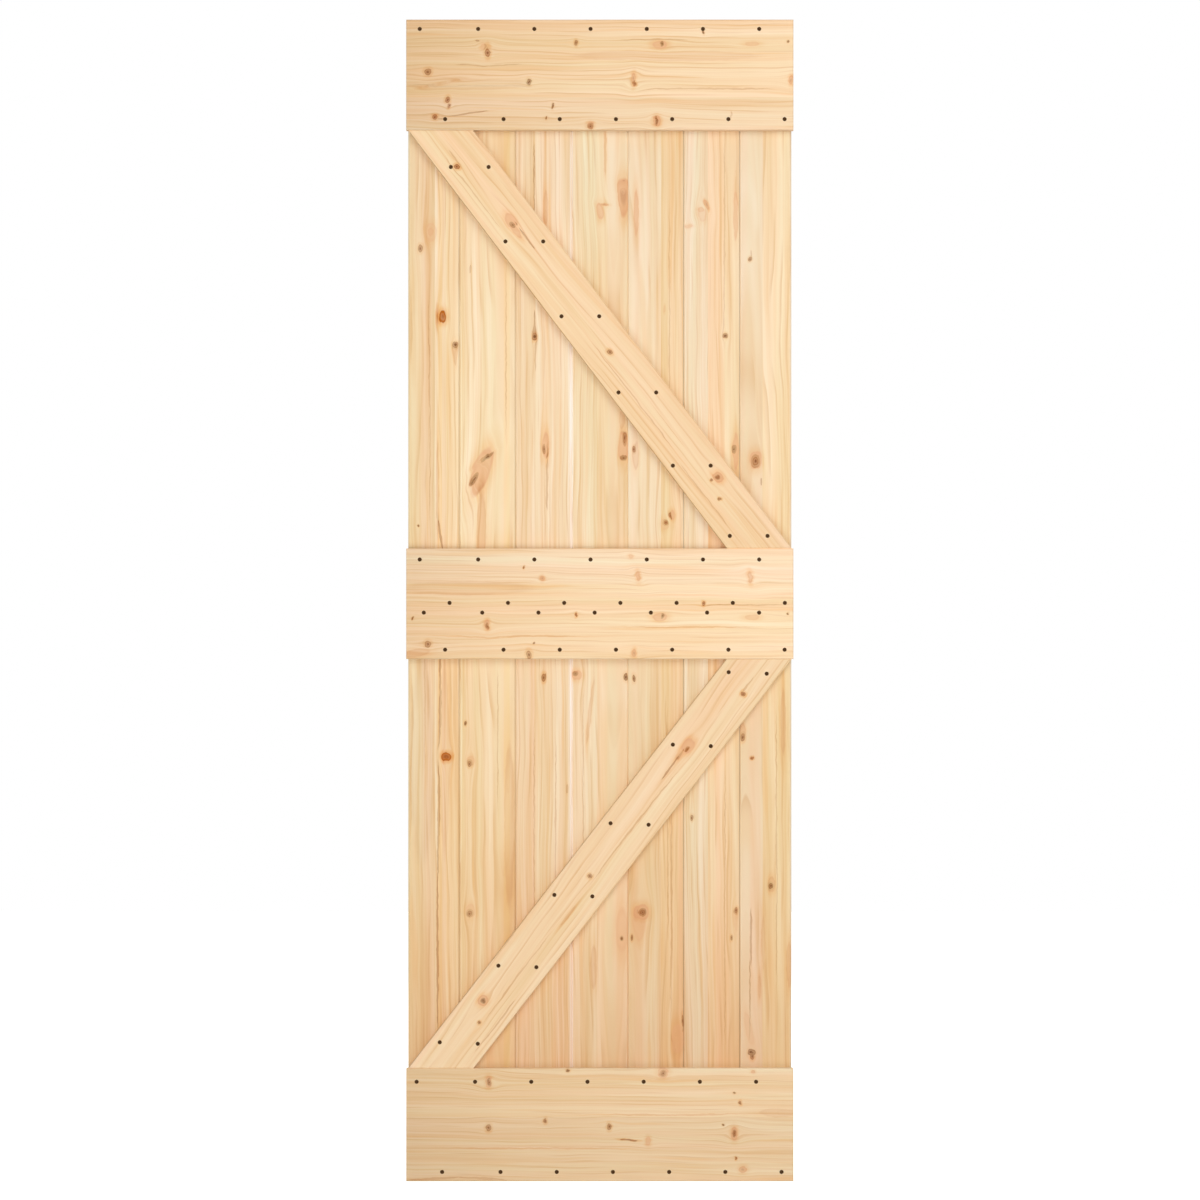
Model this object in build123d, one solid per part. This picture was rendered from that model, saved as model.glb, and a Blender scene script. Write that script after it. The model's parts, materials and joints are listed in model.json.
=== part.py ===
from build123d import *
import math
import os

# Barn door leaf of tongue-and-groove planks, held by three rails and two braces.
# Sizes are in millimetres. +Z is up, the front faces -Y, and the foot stands on z = 0.
# The rails and braces lie in front of the plane y = 0, and the planks behind it.

# Whole door
DOOR_WIDTH = 700.0
DOOR_HEIGHT = 2100.0
BOARD_THICKNESS = 18.0  # rails and braces
PLANK_THICKNESS = 18.0

# Rails
TOP_RAIL_HEIGHT = 200.0
MIDDLE_RAIL_HEIGHT = 200.0
BOTTOM_RAIL_HEIGHT = 204.0
LOWER_FIELD_HEIGHT = 740.0  # open planks between the bottom and middle rails
EDGE_EASE = 1.5  # bevel round the front face of every rail and brace

# Braces
BRACE_WIDTH = 93.5  # square across the board

# Planks
PLANK_COUNT = 7
PLANK_INSET = 3.0  # the planks stop this far inside the rails' ends
OUTER_TRIM = 8.6  # the first and last plank are ripped down by this
SEAM_RISE = 92.8  # upper and lower planks meet this far up behind the middle rail
OUTER_BEVEL = 2.0

# Tongue and groove between two planks
TONGUE_REACH = 7.0
TONGUE_THICKNESS = 6.0
TONGUE_LEAD = 1.0  # bevel on the tongue's two corners
GROOVE_SLACK = 1.0  # air left past the tongue
JOINT_BEVEL = 2.0  # the two bevels of a joint make a V on both faces

# Countersunk screws, with few sides because there are eighty of them
SCREW_SIDES = 8
SCREW_LENGTH = 30.0
HEAD_DIAMETER = 8.0
HEAD_DEPTH = 2.0
SHANK_DIAMETER = 4.0
POINT_LENGTH = 5.0
CLEARANCE_DIAMETER = 4.8  # hole for the shank in a rail or brace

# Rows of screws across the rails. A row has one screw in each plank, at the same share
# of the plank's width, counted from its left joint.
OUTER_ROW_INSET = 17.0  # in from the door's top and foot, and from the middle rail's foot
INNER_ROW_INSET = 20.0  # in from the top rail's foot and the middle rail's top
BOTTOM_ROW_INSET = 24.0  # in from the bottom rail's top
SEAM_ROW_INSET = 8.8  # above and below the seam of the planks
LEFT_SHARE = 0.335
RIGHT_SHARE = 0.787
SEAM_UPPER_SHARE = 0.866
SEAM_LOWER_SHARE = 0.408
BOTTOM_LEFT_SHARE = 0.28
BOTTOM_RIGHT_SHARE = 0.733
FIRST_SCREW_SHIFT = 4.0  # the first screw of a row stands this much further left
SEAM_LAST_PULL = 7.5  # the last screw beside the seam is pulled in by this

# Pairs of screws down the braces, as shares of the brace's height from its top, and how far right
# of the brace's middle each pair's own middle stands
UPPER_PAIR_SHARES = (0.088, 0.266, 0.445, 0.627, 0.802, 0.970)
UPPER_PAIR_SHIFTS = (2.3, -1.6, -3.5, -5.4, -7.9, -1.9)
LOWER_PAIR_SHARES = (0.032, 0.209, 0.401, 0.576, 0.749, 0.936)
LOWER_PAIR_SHIFTS = (-2.1, -1.2, -3.2, -4.1, -5.7, -4.0)
PAIR_SPREAD_SHARE = 0.58  # of the brace's level width
LOWER_PAIR_DROP = 2.7  # the right screw of a pair in the lower brace sits lower

# Heights and widths that follow
MIDDLE_RAIL_FOOT = BOTTOM_RAIL_HEIGHT + LOWER_FIELD_HEIGHT
MIDDLE_RAIL_TOP = MIDDLE_RAIL_FOOT + MIDDLE_RAIL_HEIGHT
TOP_RAIL_FOOT = DOOR_HEIGHT - TOP_RAIL_HEIGHT
SEAM_HEIGHT = MIDDLE_RAIL_FOOT + SEAM_RISE
FIELD_WIDTH = DOOR_WIDTH - 2 * PLANK_INSET
PLANK_COVER = (FIELD_WIDTH + 2 * OUTER_TRIM) / PLANK_COUNT
FIRST_JOINT = PLANK_COVER - OUTER_TRIM - FIELD_WIDTH / 2


def face_board(outline):
    """A rail or brace in front of y = 0, from its outline on the XZ plane."""
    board = extrude(Plane.XZ * outline, BOARD_THICKNESS)
    front = board.faces().sort_by(Axis.Y)[0]
    return chamfer(front.edges(), EDGE_EASE)


def rail(foot, height):
    """A level board over the full width of the door."""
    return face_board(Pos(0, foot + height / 2) * Rectangle(DOOR_WIDTH, height))


def level_width(height):
    """How wide a brace is along its level ends, when it fits a field of this height."""
    diagonal = math.hypot(FIELD_WIDTH, height)
    lean = math.atan2(FIELD_WIDTH, height) - math.asin(BRACE_WIDTH / diagonal)
    return BRACE_WIDTH / math.cos(lean)


def brace(foot, top, way):
    """A slanting board from corner to corner of the planks, mitred to the two rails.

    Its top is at the left for a way of 1, and at the right for -1.
    """
    half = FIELD_WIDTH / 2
    level = level_width(top - foot)
    corners = [(-half, top), (level - half, top), (half, foot), (half - level, foot)]
    return face_board(make_face(Polyline([(way * x, z) for x, z in corners], close=True)))


def plank_profile(number):
    """Cross-section of one plank, with its front on y = 0 and the number 0 at the left."""
    left = FIRST_JOINT + (number - 1) * PLANK_COVER
    right = left + PLANK_COVER
    section = []
    if number == PLANK_COUNT - 1:
        right = FIELD_WIDTH / 2
        section += plain_edge(right, 1)
    else:
        section += tongue_edge(right)
    if number == 0:
        left = -FIELD_WIDTH / 2
        section += plain_edge(left, -1)
    else:
        section += groove_edge(left)
    return make_face(Polyline(section, close=True))


def plain_edge(x, way):
    """Points of a bevelled outer edge, front to back at the right, back to front at the left."""
    inner = x - way * OUTER_BEVEL
    back = PLANK_THICKNESS
    points = [(inner, 0), (x, OUTER_BEVEL), (x, back - OUTER_BEVEL), (inner, back)]
    return points[::way]


def tongue_edge(x):
    """Points of a right edge with its tongue, from front to back."""
    back = PLANK_THICKNESS
    near = (back - TONGUE_THICKNESS) / 2
    far = back - near
    tip = x + TONGUE_REACH
    return [
        (x - JOINT_BEVEL, 0),
        (x, JOINT_BEVEL),
        (x, near),
        (tip - TONGUE_LEAD, near),
        (tip, near + TONGUE_LEAD),
        (tip, far - TONGUE_LEAD),
        (tip - TONGUE_LEAD, far),
        (x, far),
        (x, back - JOINT_BEVEL),
        (x - JOINT_BEVEL, back),
    ]


def groove_edge(x):
    """Points of a left edge with its groove, from back to front."""
    back = PLANK_THICKNESS
    near = (back - TONGUE_THICKNESS) / 2
    far = back - near
    floor = x + TONGUE_REACH + GROOVE_SLACK
    return [
        (x + JOINT_BEVEL, back),
        (x, back - JOINT_BEVEL),
        (x, far),
        (floor, far),
        (floor, near),
        (x, near),
        (x, JOINT_BEVEL),
        (x + JOINT_BEVEL, 0),
    ]


def plank(number, foot, top):
    """One plank of the door between two heights."""
    return Pos(0, 0, foot) * extrude(plank_profile(number), top - foot)


def frustum(start_diameter, end_diameter, length):
    """A few-sided cone along +Z that narrows from the XY plane."""
    flat = math.cos(math.pi / SCREW_SIDES)
    narrowing = (start_diameter - end_diameter) / 2 * flat
    slope = math.degrees(math.atan(narrowing / length))
    return extrude(RegularPolygon(start_diameter / 2, SCREW_SIDES), length, taper=slope)


def screw():
    """A countersunk wood screw along +Z, with the top of its head on the XY plane."""
    point_start = SCREW_LENGTH - POINT_LENGTH
    head = frustum(HEAD_DIAMETER, SHANK_DIAMETER, HEAD_DEPTH)
    shank = frustum(SHANK_DIAMETER, SHANK_DIAMETER, point_start - HEAD_DEPTH)
    point_base = Pos(0, 0, point_start) * RegularPolygon(SHANK_DIAMETER / 2, SCREW_SIDES)
    point = loft([point_base.face(), Vertex(0, 0, SCREW_LENGTH)], ruled=True)
    return head + Pos(0, 0, HEAD_DEPTH) * shank + point


def board_hole():
    """The countersink and clearance hole for one screw, from a board's front to its back."""
    sink_share = (HEAD_DIAMETER - CLEARANCE_DIAMETER) / (HEAD_DIAMETER - SHANK_DIAMETER)
    sink_depth = HEAD_DEPTH * sink_share
    sink = frustum(HEAD_DIAMETER, CLEARANCE_DIAMETER, sink_depth)
    bore = frustum(CLEARANCE_DIAMETER, CLEARANCE_DIAMETER, BOARD_THICKNESS - sink_depth)
    return sink + Pos(0, 0, sink_depth) * bore


def screw_row(height, share, last_pull=0.0):
    """Places of one row of screws across the planks, as (x, z)."""
    first = FIRST_JOINT + (share - 1) * PLANK_COVER
    across = [first + number * PLANK_COVER for number in range(PLANK_COUNT)]
    across[0] -= FIRST_SCREW_SHIFT
    across[-1] -= last_pull
    return [(x, height) for x in across]


def brace_pairs(foot, top, way, shares, shifts, drop=0.0):
    """Places of the pairs of screws down one brace, as (x, z)."""
    level = level_width(top - foot)
    spread = level * PAIR_SPREAD_SHARE / 2
    places = []
    for share, shift in zip(shares, shifts):
        middle = way * (share - 1 / 2) * (FIELD_WIDTH - level) + shift
        height = top - share * (top - foot)
        places += [(middle - spread, height), (middle + spread, height - drop)]
    return places


def driven(form, places):
    """Copies of a screw or hole, set into the front of the boards at these places."""
    return [Pos(x, -BOARD_THICKNESS, z) * Rot(X=-90) * form for x, z in places]


def screw_places():
    """Places of every screw, by the board that it goes through."""
    return {
        "top_rail": screw_row(DOOR_HEIGHT - OUTER_ROW_INSET, LEFT_SHARE)
        + screw_row(TOP_RAIL_FOOT + INNER_ROW_INSET, RIGHT_SHARE),
        "middle_rail": screw_row(MIDDLE_RAIL_TOP - INNER_ROW_INSET, LEFT_SHARE)
        + screw_row(SEAM_HEIGHT + SEAM_ROW_INSET, SEAM_UPPER_SHARE, SEAM_LAST_PULL)
        + screw_row(SEAM_HEIGHT - SEAM_ROW_INSET, SEAM_LOWER_SHARE, SEAM_LAST_PULL)
        + screw_row(MIDDLE_RAIL_FOOT + OUTER_ROW_INSET, RIGHT_SHARE),
        "bottom_rail": screw_row(BOTTOM_RAIL_HEIGHT - BOTTOM_ROW_INSET, BOTTOM_LEFT_SHARE)
        + screw_row(OUTER_ROW_INSET, BOTTOM_RIGHT_SHARE),
        "upper_brace": brace_pairs(
            MIDDLE_RAIL_TOP, TOP_RAIL_FOOT, 1, UPPER_PAIR_SHARES, UPPER_PAIR_SHIFTS
        ),
        "lower_brace": brace_pairs(
            BOTTOM_RAIL_HEIGHT,
            MIDDLE_RAIL_FOOT,
            -1,
            LOWER_PAIR_SHARES,
            LOWER_PAIR_SHIFTS,
            LOWER_PAIR_DROP,
        ),
    }


def boards():
    """The three rails and two braces before their holes are drilled."""
    return {
        "top_rail": rail(TOP_RAIL_FOOT, TOP_RAIL_HEIGHT),
        "middle_rail": rail(MIDDLE_RAIL_FOOT, MIDDLE_RAIL_HEIGHT),
        "bottom_rail": rail(0, BOTTOM_RAIL_HEIGHT),
        "upper_brace": brace(MIDDLE_RAIL_TOP, TOP_RAIL_FOOT, 1),
        "lower_brace": brace(BOTTOM_RAIL_HEIGHT, MIDDLE_RAIL_FOOT, -1),
    }


def planks():
    """The upper and lower planks before their pilot holes are drilled."""
    made = {}
    for number in range(PLANK_COUNT):
        made[f"upper_plank_{number + 1}"] = plank(number, SEAM_HEIGHT, DOOR_HEIGHT)
        made[f"lower_plank_{number + 1}"] = plank(number, 0, SEAM_HEIGHT)
    return made


def reached(body, tools):
    """The tools whose boxes meet the body's box."""
    box = body.bounding_box()
    return [tool for tool in tools if box.overlaps(tool.bounding_box())]


def build():
    """Every piece of the door, by its name."""
    parts = {}
    one_screw = screw()
    one_hole = board_hole()
    all_screws = []
    places = screw_places()
    for name, board in boards().items():
        parts[name] = board - driven(one_hole, places[name])
        screws = driven(one_screw, places[name])
        parts[f"{name}_screws"] = Compound(screws)
        all_screws += screws
    for name, body in planks().items():
        parts[name] = body - reached(body, all_screws)
    return parts


os.makedirs("parts", exist_ok=True)
for node, shape in build().items():
    export_step(shape, f"parts/{node}.step")
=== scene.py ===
import json
import math
from dataclasses import dataclass

import bmesh
import bpy
from mathutils import Matrix, Vector


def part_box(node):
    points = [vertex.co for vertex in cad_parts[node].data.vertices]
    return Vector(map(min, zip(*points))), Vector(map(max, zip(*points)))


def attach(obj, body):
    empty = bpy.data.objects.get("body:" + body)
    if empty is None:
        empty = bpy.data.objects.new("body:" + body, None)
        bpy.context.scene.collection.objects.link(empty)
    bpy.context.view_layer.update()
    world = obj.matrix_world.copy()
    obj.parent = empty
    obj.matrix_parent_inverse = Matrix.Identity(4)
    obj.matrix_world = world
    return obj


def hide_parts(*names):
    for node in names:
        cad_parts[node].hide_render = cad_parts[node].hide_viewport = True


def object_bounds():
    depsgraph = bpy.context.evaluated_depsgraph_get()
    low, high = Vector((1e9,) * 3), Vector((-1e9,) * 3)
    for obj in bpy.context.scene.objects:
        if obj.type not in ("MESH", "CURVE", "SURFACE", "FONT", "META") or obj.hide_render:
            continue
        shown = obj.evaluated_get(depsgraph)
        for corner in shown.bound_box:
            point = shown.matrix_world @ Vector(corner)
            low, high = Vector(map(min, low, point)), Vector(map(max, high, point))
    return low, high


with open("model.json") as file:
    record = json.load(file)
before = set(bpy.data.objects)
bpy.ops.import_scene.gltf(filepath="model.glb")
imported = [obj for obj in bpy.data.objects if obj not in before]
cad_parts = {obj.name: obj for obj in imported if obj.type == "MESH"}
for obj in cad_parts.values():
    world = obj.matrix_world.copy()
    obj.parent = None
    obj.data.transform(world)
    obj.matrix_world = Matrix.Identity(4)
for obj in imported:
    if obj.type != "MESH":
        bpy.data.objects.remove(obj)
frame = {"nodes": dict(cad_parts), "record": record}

# Barn door leaf of raw pine. Object sizes are in metres, as in the frame, and the wood
# materials work in millimetres of the same frame: x to the right, z up, y to the back.

cad_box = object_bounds()
scene = bpy.context.scene
MM = 0.001
DOOR_LOW, DOOR_HIGH = cad_box
UP = Vector((0.0, 0.0, 1.0))
RIGHT = Vector((1.0, 0.0, 0.0))
WHITE = (1.0, 1.0, 1.0, 1.0)

# Camera: a long lens square to the front, with the photo's frame around the leaf
FRAME_WIDTH = 2.169
LENS_MM = 135.0
SENSOR_MM = 36.0
CAMERA_X = 0.0003
CAMERA_Z = 1.0508

# Lamps and surroundings: the sky is bright ahead and dim overhead, so that the ledges on the
# door don't light the wood above them
SKY_AHEAD = 0.84
SKY_OVERHEAD = 0.38
SKY_CHANGE = (0.0, 0.7)  # from level to this upward part of a direction
KEY_PLACE = Vector((1.0, -3.4, 3.0))
KEY_SIZE = (2.6, 2.2)
KEY_WATTS = 44.5
LOW_PLACE = Vector((-0.8, -3.2, 0.42))
LOW_SIZE = (3.2, 0.7)
LOW_WATTS = 25.0
BACK_PLACE = Vector((-1.2, 3.4, 2.3))
BACK_SIZE = (2.6, 2.2)
BACK_WATTS = 52.0
FLOOR_REACH = 7.0
FLOOR_GREY = (0.88, 0.88, 0.88, 1.0)
FLOOR_GLOW = 0.72  # where it is seen, so that the floor reads white and keeps its shadow
FLOOR_ROUGHNESS = 0.9

# Screws, as in the solids: flush heads in countersinks, sunk a little below the face
HEAD_RADIUS = 4.0 * MM
HEAD_SUNK = 0.08 * MM
HEAD_DEPTH = 2.0 * MM
HEAD_BEVEL = 0.12 * MM
BEVEL_SLOPE = 0.6
NECK_RADIUS = 1.9 * MM
SHANK_RADIUS = 2.0 * MM
SMOOTH_RADIUS = 1.84 * MM
SMOOTH_SHANK = 11.0 * MM
CORE_RADIUS = 1.45 * MM
SCREW_LENGTH = 30.0 * MM
POINT_LENGTH = 5.0 * MM
THREAD_PITCH = 1.8 * MM
THREAD_RUN_IN = 1.0 * MM  # where the smooth shank narrows to the core
THREAD_STOP = 1.5 * MM  # before the tip
THREAD_ROOT = 0.9  # of the core's radius, so that the ridge stands in it
THREAD_HALF = 0.28  # of the pitch
RECESS_REACH = 2.1 * MM
RECESS_ARM = 0.55 * MM
RECESS_DEPTH = 1.5 * MM
RECESS_FLOOR_REACH = 0.45 * RECESS_REACH
RECESS_FLOOR_ARM = 0.75 * RECESS_ARM
ROUND_STEPS = 24
THREAD_STEPS = 10
SCREW_TURN = 2.4  # radians from one screw's recess to the next one's
SCREW_BROWNS = [(0.3, (0.060, 0.026, 0.008)), (0.75, (0.115, 0.055, 0.020))]
SCREW_ROUGHNESS = 0.62
SCREW_SPECULAR = 0.12
WELD_REACH = 0.01 * MM  # points of a solid that are this near are one
GRIT_PACE = 2.0
GRIT_STRENGTH = 0.3
GRIT_RELIEF = 0.05 * MM

# Noises of the wood. A pace holds the cycles per mm for the two lengths that a noise runs
# over, a reach is in mm, and a layer keeps a noise apart from those with the same seed.
OUTLINE_PACE = (0.045, 0.12)
OUTLINE_REACH = 5.0
OUTLINE_STRETCH = 1.4  # the shift along the grain, as a multiple of that across it
SLOW_BEND_PACE = (0.0022, 0.006)
SLOW_BEND_REACH = 18.0
QUICK_BEND_PACE = (0.011, 0.022)
QUICK_BEND_REACH = 5.0
QUICK_BEND_LAYER = 3.0
BROAD_PACE = (0.055, 0.0010)
NARROW_PACE = (0.22, 0.0022)
RUST_PACE = (0.12, 0.0035)
RUST_LAYER = 9.0
ROSY_PACE = (0.045, 0.0008)
ROSY_LAYER = 17.0
LANE_SWAY_PACE = (0.02, 0.0022)
LANE_SWAY_LAYER = 31.0
LANE_SHOWN_PACE = (0.73, 0.006)  # the first per lane
LANE_SHOWN_LAYER = 47.0
STAVE_STEP = 0.618  # each stave's seed moves on by this share of the spread, and wraps
STAVE_SPREAD = 40.0

# Rings and fine lines. Widths are in mm, and a pair of numbers is where a smooth change
# starts and ends. A depth of 1 is the way from a board's palest tone to its deepest.
RING_WIDTH = 3.1
RING_UNEVENNESS = 1.6
RING_DARKENS = (0.35, 0.92)
RING_ENDS = (1.0, 0.94)
RUST_SHOWN = (0.58, 0.74)
LANE_WIDTH = 8.0
LANE_SWAY = 2.4
LANE_DARKENS = (0.62, 0.95)
LANE_ENDS = (1.0, 0.965)
LANE_SHOWN = (0.40, 0.66)
BROAD_DEPTH = 2.1
BROAD_MIDDLE = 0.36
NARROW_DEPTH = 1.7
RING_DEPTH = 0.13
HALO_DEPTH = 0.35

# How strong bands, rust streaks and fine lines are, where a board doesn't say otherwise
PLANK_CONTRAST = 0.8
RAIL_CONTRAST = 0.62
BRACE_CONTRAST = 0.5
RUST = 0.30
BRACE_RUST = 0.15
LINES = 0.55

# Colour factors of the grain, on the board's own colour
PALE = (1.05, 1.09, 1.17)
STRAW = (0.99, 0.95, 0.90)
STRAW_AT = 0.45
DEEP = (0.90, 0.75, 0.57)
RUSTY = (0.96, 0.74, 0.46)
LINE_TONE = (0.82, 0.63, 0.43)
ROSY_TONES = [(0.3, (0.985, 1.02, 1.0)), (0.7, (1.01, 0.97, 0.97))]
TONE_CHANGE = 0.4  # mm on either side of where one tone meets the next

# Painted light and shade along the boards, as (mm along the grain, colour factor): it darkens
# the rails towards their left ends and the planks towards their feet
RAIL_PAINTED_LIGHT = (
    (-350, (0.86, 0.82, 0.77)),
    (-180, (0.95, 0.93, 0.90)),
    (0, (1.0, 1.0, 1.0)),
    (350, (1.05, 1.06, 1.08)),
)
PLANK_PAINTED_LIGHT = (
    (200, (0.92, 0.82, 0.76)),
    (410, (0.96, 0.89, 0.84)),
    (640, (0.99, 0.98, 0.97)),
    (900, (1.00, 1.00, 1.01)),
    (1200, (1.02, 1.05, 1.10)),
    (1350, (1.02, 1.06, 1.11)),
    (1650, (1.01, 1.03, 1.08)),
    (1900, (0.98, 1.01, 1.06)),
)

CORNER_BAND = 2.5 * MM  # a brace's points this near its top are its top corners

# Planks, in mm, and the painted shade above the ledges on them: how far up it fades, where it
# sets in, how far into the plank it ends and is whole, and how dark it is
PLANK_COVER = 101.6
MIDDLE_PLANK = 4
LEDGE_REACH = 14.0
LEDGE_START = (-1.0, 0.0)
FRONT_FACE = (2.0, 1.0)
LEDGE_PAINTED_SHADE = 0.88

# Knots. Each pair is where a part starts and is whole, as multiples of the knot's half size.
# The body is a little weaker inside its rim, where its strength goes from 0.72 to 1.
KNOT_BODY = (1.12, 0.86)
KNOT_RIM = (0.55, 0.90, 0.72, 1.0)
KNOT_CORE = (0.60, 0.10)
KNOT_HALO = (2.3, 0.9)
KNOT_HUE = (1.9, 1.15)

# The grain bends as far round a knot as these multiples of its half size and this many mm
# more. Patches are the reach and the middle of what the narrow bands do to halo and body.
BEND_PER_LENGTH = 3.0
BEND_PAST_END = 6.0
BEND_PER_WIDTH = 1.7
BEND_PAST_SIDE = 2.0
HALO_PATCHES = (2.4, 0.75)
BODY_PATCHES = (1.2, 0.95)
CORE_TONE = (0.52, 0.36, 0.22)
KNOT_HUES = [
    (0.0, (0.82, 0.45, 0.255)),
    (0.12, (0.70, 0.31, 0.14)),
    (0.2, (0.44, 0.105, 0.0)),
    (0.38, (0.36, 0.10, 0.015)),
    (0.55, (0.29, 0.095, 0.010)),
    (0.8, (0.13, 0.048, 0.008)),
    (1.0, (0.06, 0.035, 0.015)),
]
HALO_TONES = [(0.0, (0.97, 0.80, 0.64)), (0.2, (0.96, 0.62, 0.28)), (0.5, (0.93, 0.75, 0.54))]

# What each kind of mark does: how strong its body, core and halo are, how far it bends the
# grain, and its hue from salmon (0) through orange, red-brown (0.5) and brown to black (1).
# A body over 1 makes up for the weaker part inside its rim.
KINDS = {
    "red": (0.88, 0.78, 0.60, 1.0, 0.38),
    "brown": (0.72, 0.70, 0.50, 1.0, 0.48),
    "dark": (0.90, 0.80, 0.45, 0.8, 0.57),
    "vivid": (1.35, 0.40, 1.00, 1.1, 0.20),
    "salmon": (0.68, 0.00, 0.45, 0.9, 0.05),
    "oval": (0.72, 0.30, 0.45, 1.0, 0.10),
    "faint": (0.34, 0.00, 0.30, 1.0, 0.05),
    "shade": (0.12, 0.00, 0.00, 0.0, 0.34),
    "warm": (0.17, 0.00, 0.10, 0.0, 0.16),
    "flame": (0.30, 0.00, 0.25, 0.2, 0.15),
    "line": (0.34, 0.00, 0.10, 0.0, 0.28),
    "crack": (0.62, 0.00, 0.15, 0.0, 0.42),
}

# The wood's surface, with a fine relief of fibres along the grain
WOOD_ROUGHNESS = 0.60
KNOT_ROUGHNESS = 0.42
WOOD_SPECULAR = 0.15
FIBRES_ALONG = 0.03
FIBRES_ACROSS = 1.4
FIBRE_STRENGTH = 0.35
FIBRE_RELIEF = 0.12 * MM


class Shader:
    """Short calls that add nodes to one shader tree and return their outputs."""

    def __init__(self, tree):
        self.tree = tree

    def add(self, kind, **settings):
        node = self.tree.nodes.new(kind)
        for name, value in settings.items():
            setattr(node, name, value)
        return node

    def feed(self, socket, value):
        if isinstance(value, bpy.types.NodeSocket):
            self.tree.links.new(value, socket)
        else:
            socket.default_value = value

    def fill(self, node, values):
        for name, value in values.items():
            self.feed(node.inputs[name], value)
        return node

    def math(self, operation, *values, clamp=False):
        node = self.add("ShaderNodeMath", operation=operation, use_clamp=clamp)
        for socket, value in zip(node.inputs, values):
            self.feed(socket, value)
        return node.outputs[0]

    def vector(self, operation, *values):
        node = self.add("ShaderNodeVectorMath", operation=operation)
        for socket, value in zip(node.inputs, values):
            self.feed(socket, value)
        single = operation in ("DOT_PRODUCT", "LENGTH")
        return node.outputs["Value" if single else "Vector"]

    def join(self, x, y, z=0.0):
        return self.fill(self.add("ShaderNodeCombineXYZ"), {"X": x, "Y": y, "Z": z}).outputs[0]

    def split(self, vector):
        return self.fill(self.add("ShaderNodeSeparateXYZ"), {"Vector": vector}).outputs

    def place_mm(self):
        """The place on the object, in mm of the frame."""
        place = self.add("ShaderNodeTexCoord").outputs["Object"]
        return self.vector("MULTIPLY", place, (1 / MM,) * 3)

    def noise(self, x, y, z, detail=1.0, roughness=0.5):
        """Noise from 0 to 1, with 0.5 as its middle."""
        node = self.add("ShaderNodeTexNoise", noise_dimensions="3D")
        values = {"Vector": self.join(x, y, z), "Scale": 1.0, "Detail": detail, "Roughness": roughness}
        return self.fill(node, values).outputs[0]

    def paced_noise(self, lengths, pace, depth, detail=1.0, roughness=0.5):
        """Noise over two lengths, each at its own pace."""
        x, y = (self.math("MULTIPLY", length, cycles) for length, cycles in zip(lengths, pace))
        return self.noise(x, y, depth, detail, roughness)

    def around(self, noise, reach, middle=0.0):
        """A noise moved to lie round this middle, with this reach from its lowest to its highest."""
        return self.math("MULTIPLY_ADD", noise, reach, middle - reach / 2)

    def step(self, value, start, end, low=0.0, high=1.0):
        """A smooth change from low to high as value goes from start to end."""
        node = self.add("ShaderNodeMapRange", interpolation_type="SMOOTHSTEP")
        names = ("Value", "From Min", "From Max", "To Min", "To Max")
        return self.fill(node, dict(zip(names, (value, start, end, low, high)))).outputs[0]

    def mix(self, share, first, second, blend="MIX"):
        """Two colours blended. Inputs 0, 6 and 7 are the share of the second and the colours."""
        node = self.add("ShaderNodeMix", data_type="RGBA", blend_type=blend)
        sockets = (node.inputs[0], node.inputs[6], node.inputs[7])
        for socket, value in zip(sockets, (share, first, second)):
            self.feed(socket, value)
        return node.outputs[2]

    def ramp(self, value, stops, kind="LINEAR"):
        """A colour ramp from a list of (place, colour)."""
        node = self.add("ShaderNodeValToRGB")
        node.color_ramp.interpolation = kind
        elements = node.color_ramp.elements
        elements[0].position, elements[0].color = stops[0][0], opaque(stops[0][1])
        elements[1].position, elements[1].color = stops[-1][0], opaque(stops[-1][1])
        for place, color in stops[1:-1]:
            elements.new(place).color = opaque(color)
        self.feed(node.inputs[0], value)
        return node.outputs[0]

    def relief(self, shader, height, strength, distance):
        """A bump on the surface from this height."""
        bump = self.add("ShaderNodeBump")
        self.fill(bump, {"Strength": strength, "Distance": distance, "Height": height})
        self.feed(shader.inputs["Normal"], bump.outputs[0])


def opaque(color):
    """A colour with full alpha, from three numbers or one grey."""
    if isinstance(color, (int, float)):
        color = (color, color, color)
    return (*color, 1.0)


def new_material(name):
    """A material with its surface shader and the calls that add to its tree."""
    material = bpy.data.materials.new(name)
    material.use_nodes = True
    tree = material.node_tree
    return material, tree.nodes["Principled BSDF"], Shader(tree)


@dataclass
class Mark:
    """A knot or streak: its middle in mm of the frame, half its length along the grain, half
    its width, its kind, and how far it leans across the grain."""

    x: float
    z: float
    length: float
    width: float
    kind: str
    lean: float = 0.0


@dataclass
class Board:
    """What one piece of wood looks like. The pith is (mm to the side, mm behind the planks'
    face, drift along the grain). Each tone across it is (mm across the grain, colour factor),
    and those at the board's edges are painted shade and painted highlight. The painted light
    along it has mm along the grain instead. Joints are where one stave meets the next, in mm
    across the grain, and ledges are heights in mm, with a painted shade above them."""

    slot: str
    base: tuple
    along: Vector
    across: Vector
    middle: tuple
    width: float
    seed: float
    pith: tuple
    # Colour factors across the board; those at its edges are painted shade and highlight
    tones: list
    marks: list
    joints: tuple = ()
    # Painted light and shade along the board
    fade: tuple = ()
    contrast: float = PLANK_CONTRAST
    rust: float = RUST
    lines: float = LINES
    ledges: tuple = ()


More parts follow.
